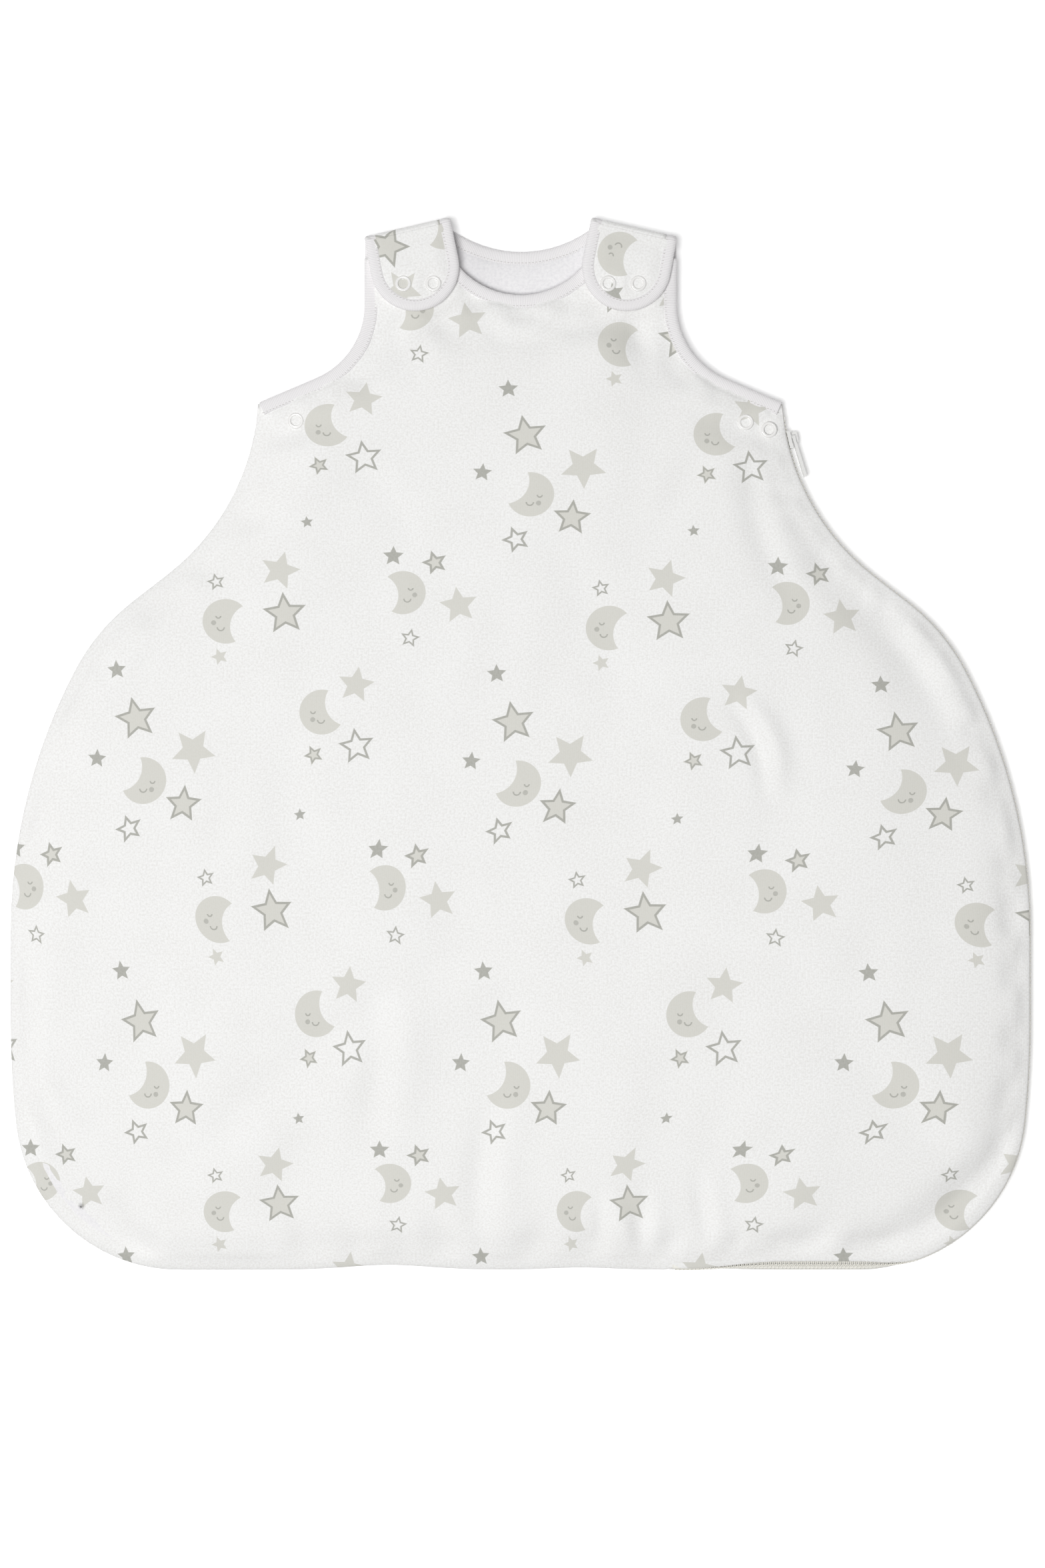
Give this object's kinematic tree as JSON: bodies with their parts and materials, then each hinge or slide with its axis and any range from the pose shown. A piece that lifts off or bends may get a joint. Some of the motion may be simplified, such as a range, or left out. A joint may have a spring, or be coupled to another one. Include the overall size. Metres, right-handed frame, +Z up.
{
  "type": "baby sleeping bag",
  "caption": "Padded baby sleeping bag lying flat, with folded shoulder straps that fasten with poppers, underarm poppers and a zip down one side and along the hem.",
  "frame": {"origin": "on the floor under the middle of the overall box, with the bag lying on its back", "axes": "+X to the side with the zip, +Y to the neck, +Z up through the front"},
  "size_m": [0.68, 0.7, 0.0233],
  "materials": {
    "outer": "printed cotton jersey",
    "lining": "plain cotton jersey",
    "wadding": "polyester wadding",
    "binding": "fine rib knit",
    "zip_tape": "woven tape",
    "zip_coil": "nylon coil",
    "zip_metal": "white enamel",
    "popper_ring": "white enamel",
    "popper_inner": "nickel plated"
  },
  "bodies": {
    "bag": {"armhole_binding_back_left": "binding", "armhole_binding_back_right": "binding", "armhole_binding_front_left": "binding", "armhole_binding_front_right": "binding", "back_lining": "lining", "back_outer": "outer", "back_wadding": "wadding", "front_lining": "lining", "front_outer": "outer", "front_wadding": "wadding", "neck_binding_back": "binding", "neck_binding_front": "binding", "shoulder_fold_left": "outer", "shoulder_fold_right": "outer", "shoulder_stud_rings_left": "popper_ring", "shoulder_stud_rings_right": "popper_ring", "shoulder_studs_left": "popper_inner", "shoulder_studs_right": "popper_inner", "side_seam": "outer", "underarm_popper_caps": "popper_ring", "underarm_popper_rings": "popper_ring", "underarm_popper_sockets": "popper_inner", "underarm_popper_studs": "popper_inner", "zip_bottom_stop": "zip_metal", "zip_coil_back": "zip_coil", "zip_coil_front_top": "zip_coil", "zip_tape_back": "zip_tape", "zip_tape_front_top": "zip_tape", "zip_top_stops": "zip_metal"},
    "strap_left": {"strap_left_binding": "binding", "strap_left_lining": "lining", "strap_left_outer": "outer", "strap_left_popper_caps": "popper_ring", "strap_left_popper_sockets": "popper_inner", "strap_left_wadding": "wadding"},
    "strap_right": {"strap_right_binding": "binding", "strap_right_lining": "lining", "strap_right_outer": "outer", "strap_right_popper_caps": "popper_ring", "strap_right_popper_sockets": "popper_inner", "strap_right_wadding": "wadding"},
    "front_corner": {"front_corner_lining": "lining", "front_corner_outer": "outer", "front_corner_wadding": "wadding", "zip_coil_front_corner": "zip_coil", "zip_tape_front_corner": "zip_tape"},
    "zip_slider": {"zip_slider": "zip_metal"},
    "zip_pull": {"zip_pull": "zip_metal"}
  },
  "joints": [
    {"name": "strap_right_fold", "type": "hinge", "parent": "bag", "child": "strap_right", "pos_m": [0.047, 0.35, 0.01815], "axis": [-0.975, 0.2224, 0], "range_deg": [0, 175]},
    {"name": "strap_left_fold", "type": "hinge", "parent": "bag", "child": "strap_left", "pos_m": [-0.047, 0.35, 0.01815], "axis": [-0.975, -0.2224, 0], "range_deg": [0, 175]},
    {"name": "zip_run", "type": "hinge", "parent": "bag", "child": "zip_slider", "pos_m": [0.33069, 0.2368, 0.0086], "axis": [0, 0, 1], "range_deg": [0, 24]},
    {"name": "pull_swing", "type": "hinge", "parent": "zip_slider", "child": "zip_pull", "pos_m": [0.18182, 0.20442, 0.0086], "axis": [0, 0, 1], "range_deg": [0, 170]},
    {"name": "front_corner_fold", "type": "hinge", "parent": "bag", "child": "front_corner", "pos_m": [0.107, -0.35, 0.0172], "axis": [-0.2163, -0.9763, 0], "range_deg": [0, 150]}
  ]
}
